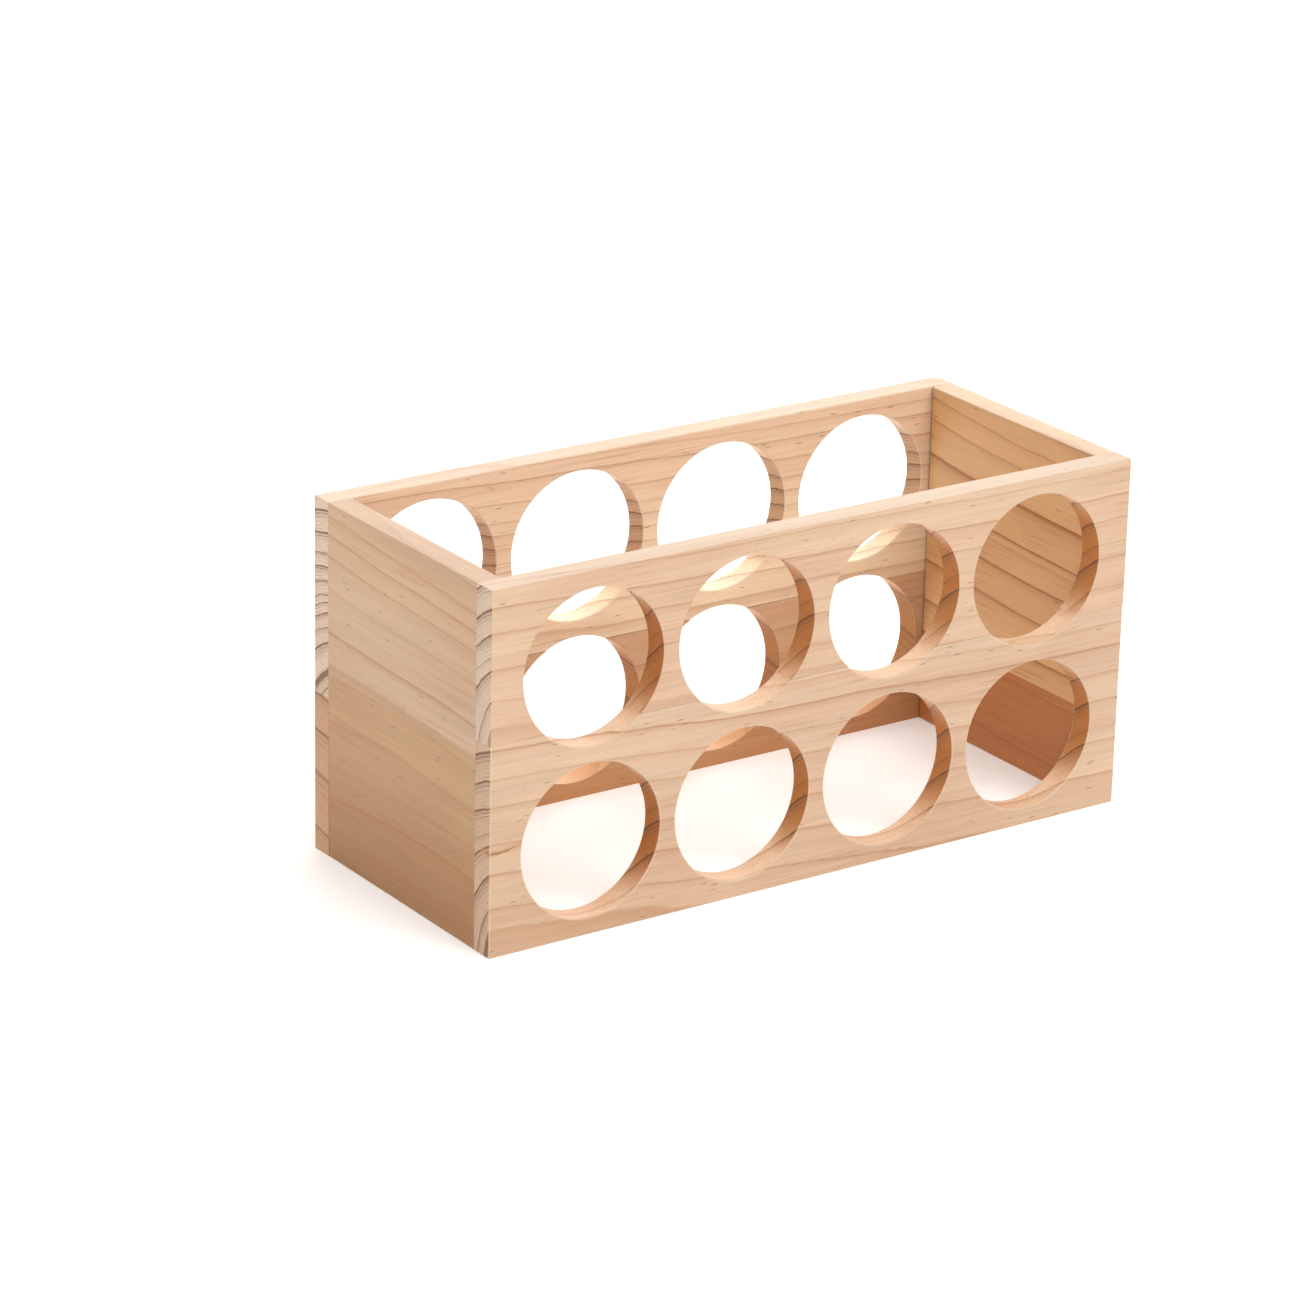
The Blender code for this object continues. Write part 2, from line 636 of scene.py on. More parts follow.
# How many features of each kind there are to the metre, along the grain and across it
BENDS = (5.0, 12.0, 12.0)
WANDERS = (18.0, 70.0, 70.0)
JITTERS = (110.0, 500.0, 500.0)
FIBRES = (40.0, 1700.0, 1700.0)
STREAKS = (11.0, 420.0, 420.0)
BANDS = (4.0, 85.0, 85.0)
CLOUDS = (7.0, 22.0, 22.0)
STROKES = (20.0, 900.0, 900.0)
CANALS = (48.0, 430.0, 430.0)
TEARS = (160.0, 200.0, 200.0)
# patches of the painted highlight along the rounded edges
HIGHLIGHT_PATCHES = (60.0, 60.0, 60.0)
SEED_SHIFT = (3.7, 5.3, 7.1)  # from one log's patterns to the next one's

# Where each of these sets in and where it is full, on the scale of what drives it
END_GRAIN = (0.50, 0.97)
# the painted light and shade of the faces inside the rack
INSIDE_LIGHT_AND_SHADE = (0.5, 0.8)
HAIR_LINE = (0.45, 0.95)
HAIR_BANDS = (0.42, 0.62)
CANAL_CHOICE = (0.25, 0.60)
CANAL_CLOUDS = (0.34, 0.54)
STROKE_CHOICE = (0.60, 0.70)
STROKE_CLOUDS = (0.60, 0.40)
PALE_PATCHES = (0.4, 0.6)

# Where each mark starts to fade with distance from its middle, and where it has gone
CANAL_EDGE = (0.07, 0.16)
HEART_EDGE = (0.55, 1.0)
STAIN_EDGE = (0.8, 2.6)

# What each pattern does, between the darkest and the palest of it
STREAKED_LATE = (0.65, 1.20)
CLOUD_TONE = (0.94, 1.06)
BAND_TONE = (0.94, 1.055)
STREAK_TONE = (0.90, 1.08)
FIBRE_TONE = (0.95, 1.04)
FIBRE_ROUGHNESS = (-0.04, 0.05)
LEAST_HIGHLIGHT = 0.5  # the painted highlight where an edge pales least, as a share of the full highlight

# How far the rings stray from round, in metres
BEND_REACH = (0.0, 0.014, 0.014)
WANDER_REACH = (0.0, 0.0022, 0.0022)
JITTER_REACH = 0.0002

# Tints of the duller and the paler patches of a face
WARM_PATCH = (1.01, 0.965, 0.94, 1.0)
PALE_PATCH = (0.98, 1.0, 0.985, 1.0)

# How far each mark takes the wood to its own colour
STROKE_SHARE = 0.35
CANAL_SHARE = 0.8
STAIN_SHARE = 0.5
HEART_SHARE = 0.75

# What the grain does to the surface: gloss lost or won, and relief
LATE_ROUGHNESS = -0.08
END_ROUGHNESS = 0.2
FIBRE_RELIEF = 0.35
LATE_RELIEF = 0.4
PIT_RELIEF = 0.6
PINE_BUMP = (0.35, 0.0002)  # strength, and height in metres

# A check is a short split along the grain, stained by resin. NO_CHECK lies outside the wood.
CHECK_SIZE = (0.022, 0.006, 0.0012)
CHECK_SLOPE = 0.12
CHECK_RAGGED = 0.9  # how far its edges are torn, for each unit of its height
CHECK_STAIN = (0.50, 0.26, 0.11, 1.0)
CHECK_HEART = (0.26, 0.115, 0.048, 1.0)
NO_CHECK = (10.0, 10.0, 10.0)
CHECKS = {"front_board_lower_stave": (-0.215, -0.091, 0.0605)}


def new_group(name, inputs, outputs):
    tree = bpy.data.node_groups.new(name, "ShaderNodeTree")
    for socket, kind in inputs:
        tree.interface.new_socket(socket, in_out="INPUT", socket_type=kind)
    for socket, kind in outputs:
        tree.interface.new_socket(socket, in_out="OUTPUT", socket_type=kind)
    given = tree.nodes.new("NodeGroupInput").outputs
    made = tree.nodes.new("NodeGroupOutput").inputs
    return tree, Shader(tree), given, made


def seeded_place(s, given):
    return s.vector("ADD", given["Place"], s.scaled(SEED_SHIFT, given["Seed"]))


def trunk():
    """Node group: how far a place is from the pith of its log. The grain runs along X."""
    tree, s, given, made = new_group("trunk", TRUNK_INPUTS, TRUNK_OUTPUTS)
    seeded = seeded_place(s, given)
    bend = s.drift(seeded, BENDS, 1.0)
    wander = s.drift(seeded, WANDERS, 2.0)
    jitter = s.level(s.noise(seeded, JITTERS, 1.0), -JITTER_REACH, JITTER_REACH)
    along, _, _ = s.split(given["Place"])
    axis = s.vector("ADD", given["Pith"], s.scaled(given["Run"], along))
    axis = s.vector("ADD", axis, s.scaled(given["Bow"], s.maths("MULTIPLY", along, along)))
    out = s.vector("SUBTRACT", given["Place"], axis)
    out = s.vector("ADD", out, s.vector("MULTIPLY", bend, BEND_REACH))
    out = s.vector("ADD", out, s.vector("MULTIPLY", wander, WANDER_REACH))
    out = s.vector("MULTIPLY", out, (0.0, 1.0, 1.0))
    s.feed(made["Radius"], s.maths("ADD", s.length(out), jitter))
    return tree


def resin_canals(s, seeded, clouds):
    """Short dark strokes along the grain."""
    cells = s.add("ShaderNodeTexVoronoi")
    s.feed(cells.inputs["Vector"], s.vector("MULTIPLY", seeded, CANALS))
    s.feed(cells.inputs["Scale"], 1.0)
    canal = s.ranged(cells.outputs["Distance"], *CANAL_EDGE, 1.0, 0.0)
    chosen, _, _ = s.split(cells.outputs["Color"])
    canal = s.maths("MULTIPLY", canal, s.ranged(chosen, *CANAL_CHOICE))
    return s.maths("MULTIPLY", canal, s.ranged(clouds, *CANAL_CLOUDS))


def check_marks(s, seeded, given):
    """The dark heart of the log's check and the resin stain round it."""
    away = s.vector("SUBTRACT", given["Place"], given["Check"])
    along, _, _ = s.split(away)
    away = s.vector("SUBTRACT", away, s.join(0.0, 0.0, s.maths("MULTIPLY", along, CHECK_SLOPE)))
    torn = s.level(s.noise(seeded, TEARS), -CHECK_RAGGED, CHECK_RAGGED)
    away = s.vector("MULTIPLY", away, tuple(1.0 / size for size in CHECK_SIZE))
    away = s.length(s.vector("ADD", away, s.join(0.0, 0.0, torn)))
    return s.ranged(away, *HEART_EDGE, 1.0, 0.0), s.ranged(away, *STAIN_EDGE, 1.0, 0.0)


def solid_pine():
    """Node group: the look of the wood at a place. The grain runs along X."""
    tree, s, given, made = new_group("solid_pine", PINE_INPUTS, PINE_OUTPUTS)
    seeded = seeded_place(s, given)
    fibres = s.noise(seeded, FIBRES, 3.0, 0.65)
    streaks = s.noise(seeded, STREAKS, 3.0, 0.65)
    bands = s.noise(seeded, BANDS, 2.0, 0.55)
    clouds = s.noise(seeded, CLOUDS)
    strokes = s.noise(seeded, STROKES, 1.0)

    # End grain, where the surface looks along the grain
    normal_along, _, _ = s.split(given["Normal"])
    end = s.ranged(s.maths("ABSOLUTE", normal_along), *END_GRAIN)

    # Late wood, broken up a little
    face_late = s.maths("MULTIPLY", s.ramp(given["Growth"], FACE_PROFILE), FACE_LATE)
    end_late = s.maths("MULTIPLY", s.ramp(given["Growth"], END_PROFILE), END_LATE)
    hair = s.maths("FRACT", s.maths("MULTIPLY", given["Radius"], HAIRLINES))
    hair = s.maths("MULTIPLY", s.ranged(hair, *HAIR_LINE), s.ranged(bands, *HAIR_BANDS))
    end_late = s.maths("ADD", end_late, s.maths("MULTIPLY", hair, HAIR_LATE))
    gain = s.maths("MULTIPLY", end, s.maths("SUBTRACT", end_late, face_late))
    late = s.maths("MULTIPLY", s.maths("ADD", face_late, gain), given["Strength"])
    late = s.maths("MULTIPLY", late, s.level(streaks, *STREAKED_LATE))
    late = s.maths("MINIMUM", late, 1.0)

    # Marks: resin canals, thin dark strokes in the duller patches, and the log's check
    canal = resin_canals(s, seeded, clouds)
    dull = s.ranged(clouds, *STROKE_CLOUDS)
    stroke = s.maths("MULTIPLY", s.ranged(strokes, *STROKE_CHOICE), dull)
    stroke = s.maths("MULTIPLY", stroke, s.maths("SUBTRACT", 1.0, end))
    heart, stain = check_marks(s, seeded, given)

    early = s.blend(end, given["Early Wood"], given["End Grain"])
    line = s.blend(end, given["Late Wood"], given["Late End Grain"])
    colour = s.blend(late, early, line)
    mean = s.maths("ADD", s.maths("MULTIPLY", bands, 0.5), s.maths("MULTIPLY", clouds, 0.5))
    patch = s.blend(s.ranged(mean, *PALE_PATCHES), WARM_PATCH, PALE_PATCH)
    colour = s.blend(1.0, colour, patch, "MULTIPLY")
    tone = s.maths("MULTIPLY", s.level(clouds, *CLOUD_TONE), s.level(bands, *BAND_TONE))
    tone = s.maths("MULTIPLY", tone, s.level(streaks, *STREAK_TONE))
    tone = s.maths("MULTIPLY", tone, s.level(fibres, *FIBRE_TONE))
    colour = s.scaled(colour, tone)
    for mark, share, marked in (
        (stroke, STROKE_SHARE, given["Late Wood"]),
        (canal, CANAL_SHARE, given["Late End Grain"]),
        (stain, STAIN_SHARE, CHECK_STAIN),
        (heart, HEART_SHARE, CHECK_HEART),
    ):
        colour = s.blend(s.maths("MULTIPLY", mark, share), colour, marked)

    rough = s.maths("ADD", given["Roughness"], s.maths("MULTIPLY", late, LATE_ROUGHNESS))
    rough = s.maths("ADD", rough, s.maths("MULTIPLY", end, END_ROUGHNESS))
    rough = s.maths("ADD", rough, s.level(fibres, *FIBRE_ROUGHNESS))

    pit = s.maths("MULTIPLY", s.maths("MAXIMUM", canal, heart), PIT_RELIEF)
    height = s.maths("MULTIPLY", fibres, FIBRE_RELIEF)
    height = s.maths("ADD", height, s.maths("MULTIPLY", late, LATE_RELIEF))
    height = s.maths("SUBTRACT", height, pit)

    s.feed(made["Colour"], colour)
    s.feed(made["Roughness"], rough)
    s.feed(made["Height"], height)
    return tree


def shared_group(name, build):
    return bpy.data.node_groups.get(name) or build()


def new_material(name):
    """A material, with the maker of its nodes and its main shader."""
    material = bpy.data.materials.new(name)
    material.use_nodes = True
    shader = material.node_tree.nodes["Principled BSDF"]
    return material, Shader(material.node_tree), shader


def add_bump(s, shader, height, strength, distance):
    bump = s.add("ShaderNodeBump")
    bump.inputs["Strength"].default_value = strength
    bump.inputs["Distance"].default_value = distance
    s.feed(bump.inputs["Height"], height)
    s.feed(shader.inputs["Normal"], bump.outputs["Normal"])


def turned(s, vector):
    """The vector with X and Y changed over, for a board whose grain runs along Y."""
    x, y, z = s.split(vector)
    return s.join(y, x, z)


def ring_growth(s, log, radius):
    """How far through its year the wood grew at this radius, and how dark that ring is.
    Every ring is one step of the curve."""
    count = len(log.rings)
    reach = log.rings[-1][0] / MM_IN_METRE
    years = s.add("ShaderNodeFloatCurve")
    points = years.mapping.curves[0].points
    for i, (ring, _) in enumerate(log.rings[:-1]):
        points.new(ring / MM_IN_METRE / reach, (i + 1) / count)
    for point in points:
        point.handle_type = "VECTOR"
    years.mapping.update()
    s.feed(years.inputs["Value"], s.maths("DIVIDE", radius, reach))
    year = years.outputs["Value"]
    growth = s.maths("FRACT", s.maths("MULTIPLY", year, count))
    stops = [(i / count, strength) for i, (_, strength) in enumerate(log.rings)]
    return growth, s.ramp(year, stops, "CONSTANT")


def pine(prefix, node, grain_along_y, outside, end_grain, gloss, edge_highlight_share=0.0, bore_light=1.0):
    """The wood of one stave. outside is the place of its outer face across the board. The last
    two
    arguments paint light: how far the rounded edges pale to a painted highlight, and how much
    paler the wood is painted than on the lacquered faces, as painted light on the bottoms of the
    bores."""
    wood = bpy.context.scene.rack_wood
    log = LOGS[node]
    material, s, shader = new_material(prefix + node)
    coordinates = s.add("ShaderNodeTexCoord").outputs
    place, normal = coordinates["Object"], coordinates["Normal"]
    if grain_along_y:
        place, normal = turned(s, place), turned(s, normal)

    outward = math.copysign(1.0, outside)
    out, up = (size / MM_IN_METRE for size in log.pith)
    run_out, climb, bow = log.run
    trunk_values = {
        "Place": place,
        "Pith": (0.0, outside + outward * out, up),
        "Run": (0.0, outward * run_out, climb),
        "Bow": (0.0, 0.0, bow),
        "Seed": log.seed,
    }
    radius = s.group(shared_group("trunk", trunk), trunk_values)["Radius"]
    growth, strength = ring_growth(s, log, radius)

    near_pith, far = (size / MM_IN_METRE for size in log.heart)
    sapwood = s.ranged(radius, near_pith, far)
    # In the bores the wood is painted paler, as painted light on their bottoms.
    heartwood, outer_wood = (Vector(colour) * bore_light for colour in (log.heartwood, log.sapwood))
    early = s.blend(sapwood, opaque(heartwood), opaque(outer_wood))
    # Painted light and shade: faces inside the rack take the log's inner tint, darker and warmer
    # where shade falls inside the rack, paler on the back board's upper stave.
    _, across, _ = s.split(normal)
    inside_light_and_shade = s.ranged(s.maths("MULTIPLY", across, -outward), *INSIDE_LIGHT_AND_SHADE)
    inside_light_and_shade_tint = s.blend(inside_light_and_shade, opaque((1.0, 1.0, 1.0)), opaque(log.inner))
    pine_values = {
        "Place": place,
        "Normal": normal,
        "Radius": radius,
        "Growth": growth,
        "Strength": strength,
        "Seed": log.seed,
        "Early Wood": s.blend(1.0, early, inside_light_and_shade_tint, "MULTIPLY"),
        "Late Wood": s.blend(1.0, opaque(wood.late), inside_light_and_shade_tint, "MULTIPLY"),
        "Late End Grain": opaque(wood.end_late),
        "End Grain": opaque(end_grain),
        "Check": CHECKS.get(node, NO_CHECK),
        "Roughness": wood.roughness,
    }
    made = s.group(shared_group("solid_pine", solid_pine), pine_values)

    colour = made["Colour"]
    # Painted highlight: the rounded edges pale in patches towards a light colour, for light
    # catching them.
    if edge_highlight_share:
        highlit = s.level(s.noise(place, HIGHLIGHT_PATCHES, 3.0), edge_highlight_share * LEAST_HIGHLIGHT, edge_highlight_share)
        colour = s.blend(highlit, colour, opaque(wood.edge_highlight))
    s.feed(shader.inputs["Base Color"], colour)
    s.feed(shader.inputs["Roughness"], made["Roughness"])
    shader.inputs["Specular IOR Level"].default_value = gloss
    add_bump(s, shader, made["Height"], *PINE_BUMP)
    return material


# The dowels' beech, in the same terms as the pine
BEECH_FIBRES = (2600.0, 90.0, 2600.0)
BEECH_FLECKS = (900.0, 260.0, 900.0)
FLECK_CHOICE = (0.60, 0.66)
FLECK_COLOUR = (0.33, 0.17, 0.09, 1.0)
FLECK_SHARE = 0.35
BEECH_TONE = (0.82, 1.10)
BEECH_ROUGHNESS = (0.58, 0.74)
BEECH_END_GRAIN = (0.6, 0.95)
BEECH_END_TINT = (0.70, 0.62, 0.55, 1.0)
BEECH_BUMP = (0.4, 0.0001)


def beech(name, seed):
    """Plain, close-grained wood of a dowel, whose grain runs along Y."""
    settings = bpy.context.scene.rack_dowels
    material, s, shader = new_material(name)
    coordinates = s.add("ShaderNodeTexCoord").outputs
    place = s.vector("ADD", coordinates["Object"], (seed, seed * 2.0, seed * 3.0))
    fibres = s.noise(place, BEECH_FIBRES, 3.0, 0.6)
    fleck = s.ranged(s.noise(place, BEECH_FLECKS, 1.0), *FLECK_CHOICE)
    toned = s.scaled(tuple(settings.beech), s.level(fibres, *BEECH_TONE))
    colour = s.blend(s.maths("MULTIPLY", fleck, FLECK_SHARE), toned, FLECK_COLOUR)
    _, normal_along, _ = s.split(coordinates["Normal"])
    end = s.ranged(s.maths("ABSOLUTE", normal_along), *BEECH_END_GRAIN)
    colour = s.blend(end, colour, s.blend(1.0, colour, BEECH_END_TINT, "MULTIPLY"))
    s.feed(shader.inputs["Base Color"], colour)
    s.feed(shader.inputs["Roughness"], s.level(fibres, *BEECH_ROUGHNESS))
    add_bump(s, shader, fibres, *BEECH_BUMP)
    return material


class Outline(NamedTuple):
    """Where the bores and the sharp edges of the glued-up rack run."""

    holes: list  # (x, z) of the middle of each bottle hole
    radius: float
    inner_x: float  # of the end panels' inner faces
    inner_y: float  # of the long boards' inner faces
    open_y: float  # of the upright edge beside a joint that gapes


def bottle_holes():
    """(x, z) of each bottle hole, from the rack's stated openings."""
    openings = frame["record"]["physics"]["openings"]
    boxes = [o["box_m"] for o in openings if o["name"][-1].isdigit()]
    if not boxes:
        raise RuntimeError("The rack's record states no bottle holes")
    return [((low[0] + high[0]) / 2, (low[2] + high[2]) / 2) for low, high in boxes]


def hole_radius(holes):
    """Radius of the bottle holes: the nearest wood to a hole's middle."""
    wood = frame["nodes"]["front_board_lower_stave"].data.vertices
    return min(math.hypot(v.co.x - x, v.co.z - z) for v in wood for x, z in holes)


def dowel_nodes():
    nodes = [node for node in frame["nodes"] if node.startswith("dowel_")]
    if not nodes:
        raise RuntimeError("The rack has no dowels")
    return nodes


def cylinder_along_y(bm, centre, radius, length, sides):
    bmesh.ops.create_cone(
        bm,
        cap_ends=True,
        segments=sides,
        radius1=radius,
        radius2=radius,
        depth=length,
        matrix=Matrix.Translation(centre) @ Matrix.Rotation(math.radians(90), 4, "X"),
    )


def linked(bm, name):
    mesh = bpy.data.meshes.new(name)
    bm.to_mesh(mesh)
    bm.free()
    obj = bpy.data.objects.new(name, mesh)
    bpy.context.scene.collection.objects.link(obj)
    return obj


def block(name, low, high):
    bm = bmesh.new()
    bmesh.ops.create_cube(bm, size=1.0)
    bmesh.ops.scale(bm, vec=high - low, verts=bm.verts)
    bmesh.ops.translate(bm, vec=(low + high) / 2, verts=bm.verts)
    return linked(bm, name)


def boring_tools(low, high):
    """One mesh with a cylinder for every hole and socket that reaches this block."""
    boards = bpy.context.scene.rack_boards
    bm = bmesh.new()
    holes = bottle_holes()
    radius = hole_radius(holes)
    if high.x - low.x > high.y - low.y:
        middle = (low.y + high.y) / 2
        length = high.y - low.y + 2 * BORE_OVERRUN
        for x, z in holes:
            if low.z < z + radius and z - radius < high.z:
                cylinder_along_y(bm, Vector((x, middle, z)), radius, length, boards.bore_sides)
    for node in dowel_nodes():
        start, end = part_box(node)
        centre = (start + end) / 2
        inside = low.z < centre.z < high.z and start.x > low.x and end.x < high.x
        if inside and start.y < high.y and end.y > low.y:
            reach = (end.x - start.x) / 2 + boards.glue_film
            depth = end.y - start.y + 2 * boards.glue_film + SOCKET_ROOM
            cylinder_along_y(bm, centre, reach, depth, SOCKET_SIDES)
    return linked(bm, "boring_tools")


def bored(blank, tools):
    """A new mesh of the blank with the tools cut out of it. Both objects are removed."""
    cut = blank.modifiers.new("bore", "BOOLEAN")
    cut.operation = "DIFFERENCE"
    cut.solver = "EXACT"
    cut.object = tools
    bpy.context.view_layer.update()
    evaluated = blank.evaluated_get(bpy.context.evaluated_depsgraph_get())
    mesh = bpy.data.meshes.new_from_object(evaluated)
    if not mesh.polygons:
        raise RuntimeError(f"Nothing is left of {blank.name} after boring")
    for used in (blank, tools):
        old = used.data
        bpy.data.objects.remove(used)
        bpy.data.meshes.remove(old)
    return mesh


def near(a, b):
    return abs(a - b) < ON_PLANE


def on_wall(outline, place, reach):
    """Whether a place is this near to the wall of a bottle hole."""
    return any(
        abs(math.hypot(place.x - x, place.z - z) - outline.radius) < reach
        for x, z in outline.holes
    )


def is_outer_edge(edge, outline):
    """Whether a sharp edge of the glued-up rack runs here, and not a joint between pieces.
    The upright edge in an inner corner counts where its joint is open."""
    middle = (edge.verts[0].co + edge.verts[1].co) / 2
    x, y = abs(middle.x), abs(middle.y)
    if near(x, outline.inner_x) and near(middle.y, outline.open_y):
        return True
    on_x = near(x, CAD_HIGH.x)
    on_y = near(y, CAD_HIGH.y)
    on_z = near(middle.z, CAD_LOW.z) or near(middle.z, CAD_HIGH.z)
    if on_x + on_y + on_z >= 2:
        return True
    if on_z and near(y, outline.inner_y) and x < outline.inner_x:
        return True
    if on_z and near(x, outline.inner_x) and y < outline.inner_y:
        return True
    on_face = on_y or near(y, outline.inner_y)
    on_rim = on_wall(outline, edge.verts[0].co, ON_PLANE)
    return on_face and on_rim and not edge.is_boundary


def open_joints(bm, node, high, outline):
    """Moves the back end of a panel away from the back board where the joint has opened."""
    boards = bpy.context.scene.rack_boards
    for vert in bm.verts:
        if not near(vert.co.y, high.y):
            continue
        if node.startswith("right_end") and near(vert.co.x, outline.inner_x):
            vert.co.y = outline.open_y
        elif node == "left_end_lower_stave":
            vert.co.y -= boards.open_foot * (1.0 - vert.co.z / high.z)


def ease_edges(piece, material_index):
    """Rounds the weighted edges, and gives the rounding this material."""
    boards = bpy.context.scene.rack_boards
    ease = piece.modifiers.new("eased_edges", "BEVEL")
    ease.limit_method = "WEIGHT"
    ease.width = boards.edge_round
    ease.segments = boards.round_steps
    ease.harden_normals = True
    ease.use_clamp_overlap = True
    ease.material = material_index


def stave(node, low, high, materials):
    """One stave as a finished piece, between these corners. Its materials are the faces,
    then the walls of the bottle holes with their painted light and shade if it has any, and
    last the rounded edges with their painted highlight."""
    boards = bpy.context.scene.rack_boards
    mesh = bored(block(node + "_block", low, high), boring_tools(low, high))
    holes = bottle_holes()
    outline = Outline(
        holes=holes,
        radius=hole_radius(holes),
        inner_x=-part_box("left_end_lower_stave")[1].x,
        inner_y=-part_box("front_board_lower_stave")[1].y,
        open_y=high.y - boards.open_corner if node.startswith("right_end") else math.inf,
    )
    bm = bmesh.new()
    bm.from_mesh(mesh)
    open_joints(bm, node, high, outline)
    for x in (-outline.inner_x, outline.inner_x):
        bmesh.ops.bisect_plane(
            bm,
            geom=[*bm.verts, *bm.edges, *bm.faces],
            plane_co=(x, 0, 0),
            plane_no=(1, 0, 0),
            dist=CUT_SNAP,
        )
    weights = bm.edges.layers.float.new("bevel_weight_edge")
    for edge in bm.edges:
        if len(edge.link_faces) == 2 and edge.calc_face_angle() > CREASE:
            if is_outer_edge(edge, outline):
                edge[weights] = 1.0
    for face in bm.faces:
        face.smooth = True
        face.material_index = 0
        along_bore = abs(face.normal.y) < WALL_TILT
        if len(materials) > 2 and along_bore:
            if on_wall(outline, face.calc_center_median(), ON_WALL):
                face.material_index = 1
    bm.to_mesh(mesh)
    bm.free()
    mesh.set_sharp_from_angle(angle=CREASE)
    piece = bpy.data.objects.new("pine_" + node, mesh)
    bpy.context.scene.collection.objects.link(piece)
    for material in materials:
        mesh.materials.append(material)
    ease_edges(piece, len(materials) - 1)
    return piece


def glued_corners(node, between_boards):
    """The stave's corners, grown until only a glue film is left between glued faces."""
    film = bpy.context.scene.rack_boards.glue_film
    low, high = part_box(node)
    other = node.replace("upper", "lower") if "upper" in node else node.replace("lower", "upper")
    other_low, other_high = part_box(other)
    if "upper" in node:
        low.z = (low.z + other_high.z) / 2 + film / 2
    else:
        high.z = (high.z + other_low.z) / 2 - film / 2
    if between_boards:
        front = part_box("front_board_lower_stave")[1].y
        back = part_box("back_board_lower_stave")[0].y
        low.y = front + film
        high.y = back - film
    return low, high


def finish_board(node, grain_along_y):
    """Builds one stave and lets it stand for its CAD node."""
    if node not in frame["nodes"]:
        raise RuntimeError(f"The rack has no {node}")
    wood = bpy.context.scene.rack_wood
    low, high = glued_corners(node, between_boards=grain_along_y)
    axis = 0 if grain_along_y else 1
    outside = max((low[axis], high[axis]), key=abs)
    log = LOGS[node]
    heartwood = Vector(log.heartwood)
    sawn = Vector(wood.sawn).lerp(heartwood, log.raw)
    materials = [pine("pine_", node, grain_along_y, outside, sawn, FACE_GLOSS)]
    if not grain_along_y:
        # Painted light and shade of the bores: their end grain is darkened as painted shade, and
        # their wood is painted paler for the light on their bottoms.
        dark = heartwood.lerp(Vector(wood.bored), log.bore_shade)
        materials.append(
            pine("bore_light_and_shade_pine_", node, False, outside, dark, DULL_GLOSS, bore_light=BORE_LIGHT)
        )
    # The rounded edges carry the painted highlight.
    materials.append(
        pine("highlit_edge_pine_", node, grain_along_y, outside, sawn, DULL_GLOSS, wood.edge_highlight_share)
    )
    piece = stave(node, low, high, materials)
    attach(piece, "root")
    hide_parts(node)


class RACK_OT_front_board(bpy.types.Operator):
    """Builds the two staves of the front board"""

    bl_idname = "rack.front_board"
    bl_label = "Front Board"

    def execute(self, context):
        for node in ("front_board_upper_stave", "front_board_lower_stave"):
            finish_board(node, False)
        return {"FINISHED"}


class RACK_OT_back_board(bpy.types.Operator):
    """Builds the two staves of the back board"""

    bl_idname = "rack.back_board"
    bl_label = "Back Board"

    def execute(self, context):
        for node in ("back_board_upper_stave", "back_board_lower_stave"):
            finish_board(node, False)
        return {"FINISHED"}


class RACK_OT_end_panels(bpy.types.Operator):
    """Builds the staves of the two end panels"""

    bl_idname = "rack.end_panels"
    bl_label = "End Panels"

    def execute(self, context):
        for side in ("left", "right"):
            for half in ("upper", "lower"):
                finish_board(f"{side}_end_{half}_stave", True)
        return {"FINISHED"}


def fluted_dowel(name, low, high, settings):
    """A dowel along Y with a groove every few degrees and a chamfer at both ends."""
    sides = settings.flutes * POINTS_PER_FLUTE
    radius = (high.x - low.x) / 2
    centre = (low + high) / 2
    stations = (
        (low.y, settings.chamfer * CHAMFER_DEPTH),
        (low.y + settings.chamfer, 0.0),
        (high.y - settings.chamfer, 0.0),
        (high.y, settings.chamfer * CHAMFER_DEPTH),
    )
    bm = bmesh.new()
    rings = []
    for y, inset in stations:
        ring = []
        for i in range(sides):
            turn = 2 * math.pi * i / sides
            groove = settings.flute_depth * (0.5 - 0.5 * math.cos(turn * settings.flutes)) ** 2
            r = radius - inset - groove
            x = centre.x + r * math.cos(turn)
            z = centre.z + r * math.sin(turn)
            ring.append(bm.verts.new((x, y, z)))
        rings.append(ring)
    for before, after in zip(rings, rings[1:]):
        for i in range(sides):
            j = (i + 1) % sides
            bm.faces.new((before[i], before[j], after[j], after[i])).smooth = True
    bm.faces.new(rings[0])
    bm.faces.new(rings[-1])
    bmesh.ops.recalc_face_normals(bm, faces=bm.faces)
    obj = linked(bm, name)
    obj.data.set_sharp_from_angle(angle=DOWEL_CREASE)
    return obj


class RACK_OT_dowels(bpy.types.Operator):
    """Builds the fluted dowels of the four corners"""

    bl_idname = "rack.dowels"
    bl_label = "Dowels"

    def execute(self, context):
        for number, node in enumerate(sorted(dowel_nodes())):
            low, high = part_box(node)
            dowel = fluted_dowel("beech_" + node, low, high, context.scene.rack_dowels)
            dowel.data.materials.append(beech("beech_" + node, number * DOWEL_SEED_STEP))
            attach(dowel, "root")
            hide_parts(node)
        return {"FINISHED"}


class RACK_OT_stage(bpy.types.Operator):
    """Lays the floor and sets the lights and the camera"""

    bl_idname = "rack.stage"
    bl_label = "Stage"

    def execute(self, context):
        stage = context.scene.rack_stage
        lay_floor(stage)
        light_room(stage)
        set_camera(stage)
        return {"FINISHED"}


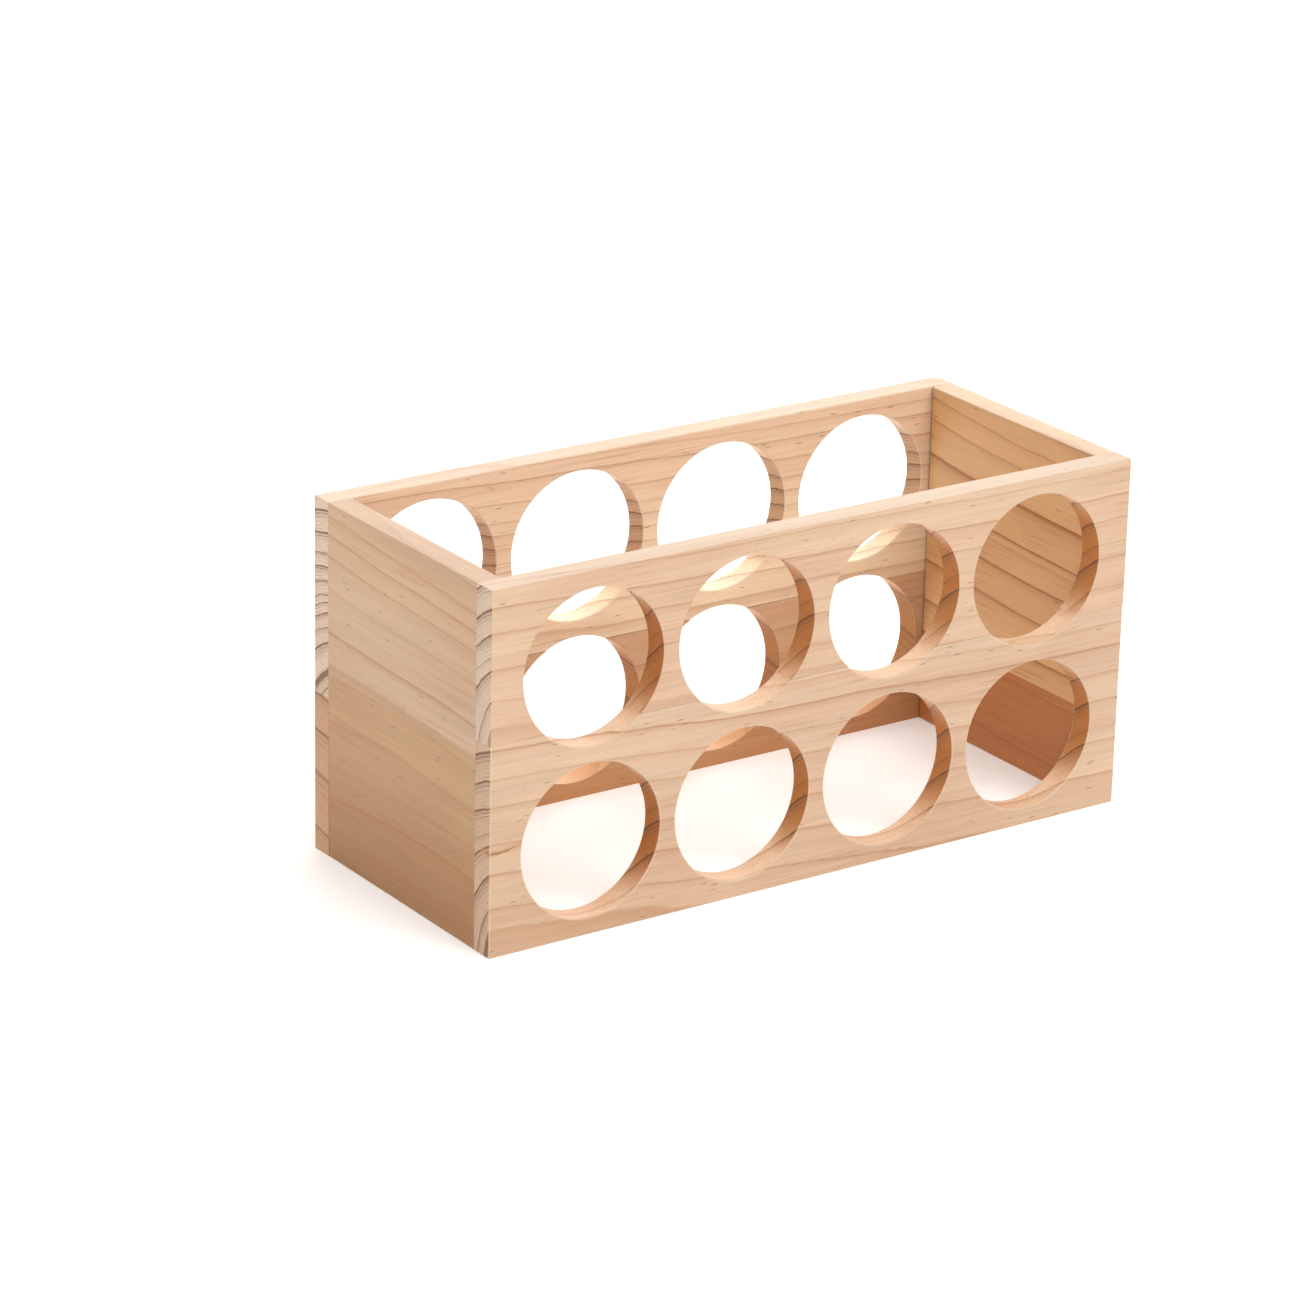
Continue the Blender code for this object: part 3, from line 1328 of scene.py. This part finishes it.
def lay_floor(stage):
    bm = bmesh.new()
    bmesh.ops.create_grid(bm, x_segments=1, y_segments=1, size=FLOOR_REACH)
    floor = linked(bm, "studio_floor")
    floor.location.z = CAD_LOW.z
    material, _, shader = new_material("studio_floor")
    shader.inputs["Base Color"].default_value = opaque(stage.floor)
    shader.inputs["Roughness"].default_value = FLOOR_ROUGHNESS
    shader.inputs["Specular IOR Level"].default_value = FLOOR_GLOSS
    shader.inputs["Emission Color"].default_value = (1.0, 1.0, 1.0, 1.0)
    shader.inputs["Emission Strength"].default_value = stage.glow
    floor.data.materials.append(material)


def new_light(name, kind, energy, colour):
    data = bpy.data.lights.new(name, kind)
    data.energy = energy
    data.color = colour
    light = bpy.data.objects.new(name, data)
    bpy.context.scene.collection.objects.link(light)
    return light


def light_room(stage):
    world = bpy.data.worlds.new("white_room")
    bpy.context.scene.world = world
    world.use_nodes = True
    background = world.node_tree.nodes["Background"]
    background.inputs["Color"].default_value = ROOM_COLOUR
    background.inputs["Strength"].default_value = stage.ambient

    soft_box = new_light("soft_box", "AREA", stage.back, SOFT_BOX_COLOUR)
    soft_box.data.shape = "DISK"
    soft_box.data.size = SOFT_BOX_WIDTH
    soft_box.location = SOFT_BOX_PLACE
    facing = Vector(SOFT_BOX_AIM) - Vector(SOFT_BOX_PLACE)
    soft_box.rotation_euler = facing.to_track_quat("-Z", "Y").to_euler()

    key = new_light("key", "SUN", stage.key, KEY_COLOUR)
    key.data.angle = KEY_SPREAD
    key.rotation_euler = Vector(KEY_DIRECTION).to_track_quat("Z", "Y").to_euler()
    bpy.context.scene.view_settings.view_transform = "Standard"


def set_camera(stage):
    data = bpy.data.cameras.new("camera")
    data.lens = stage.lens
    data.sensor_width = SENSOR_WIDTH
    data.clip_end = SIGHT_LIMIT
    camera = bpy.data.objects.new("camera", data)
    bpy.context.scene.collection.objects.link(camera)
    flat = math.cos(stage.elevation)
    x = math.sin(stage.azimuth) * flat
    y = -math.cos(stage.azimuth) * flat
    back = Vector((x, y, math.sin(stage.elevation)))
    camera.location = Vector(stage.aim) + back * stage.distance
    facing = (-back).to_track_quat("-Z", "Y").to_matrix()
    camera.rotation_euler = (facing @ Matrix.Rotation(stage.roll, 3, "Z")).to_euler()
    bpy.context.scene.camera = camera


OPERATORS = (
    RACK_OT_stage,
    RACK_OT_front_board,
    RACK_OT_back_board,
    RACK_OT_end_panels,
    RACK_OT_dowels,
)
SETTINGS = {
    "rack_boards": RackBoards,
    "rack_wood": RackWood,
    "rack_dowels": RackDowels,
    "rack_stage": RackStage,
}


class RACK_PT_build(bpy.types.Panel):
    """Lists the steps of the build and their settings"""

    bl_idname = "RACK_PT_build"
    bl_label = "Bottle Rack"
    bl_space_type = "VIEW_3D"
    bl_region_type = "UI"
    bl_category = "Rack"

    def draw(self, context):
        for operator in OPERATORS:
            self.layout.operator(operator.bl_idname)
        for name, group in SETTINGS.items():
            box = self.layout.box()
            for field in group.__annotations__:
                box.prop(getattr(context.scene, name), field)


def register():
    for group in SETTINGS.values():
        bpy.utils.register_class(group)
    for name, group in SETTINGS.items():
        setattr(bpy.types.Scene, name, PointerProperty(type=group))
    for operator in OPERATORS:
        bpy.utils.register_class(operator)
    bpy.utils.register_class(RACK_PT_build)


def unregister():
    bpy.utils.unregister_class(RACK_PT_build)
    for operator in reversed(OPERATORS):
        bpy.utils.unregister_class(operator)
    for name, group in SETTINGS.items():
        delattr(bpy.types.Scene, name)
        bpy.utils.unregister_class(group)


def main():
    register()
    bpy.ops.rack.stage()
    bpy.ops.rack.front_board()
    bpy.ops.rack.back_board()
    bpy.ops.rack.end_panels()
    bpy.ops.rack.dowels()


if __name__ == "__main__":
    main()
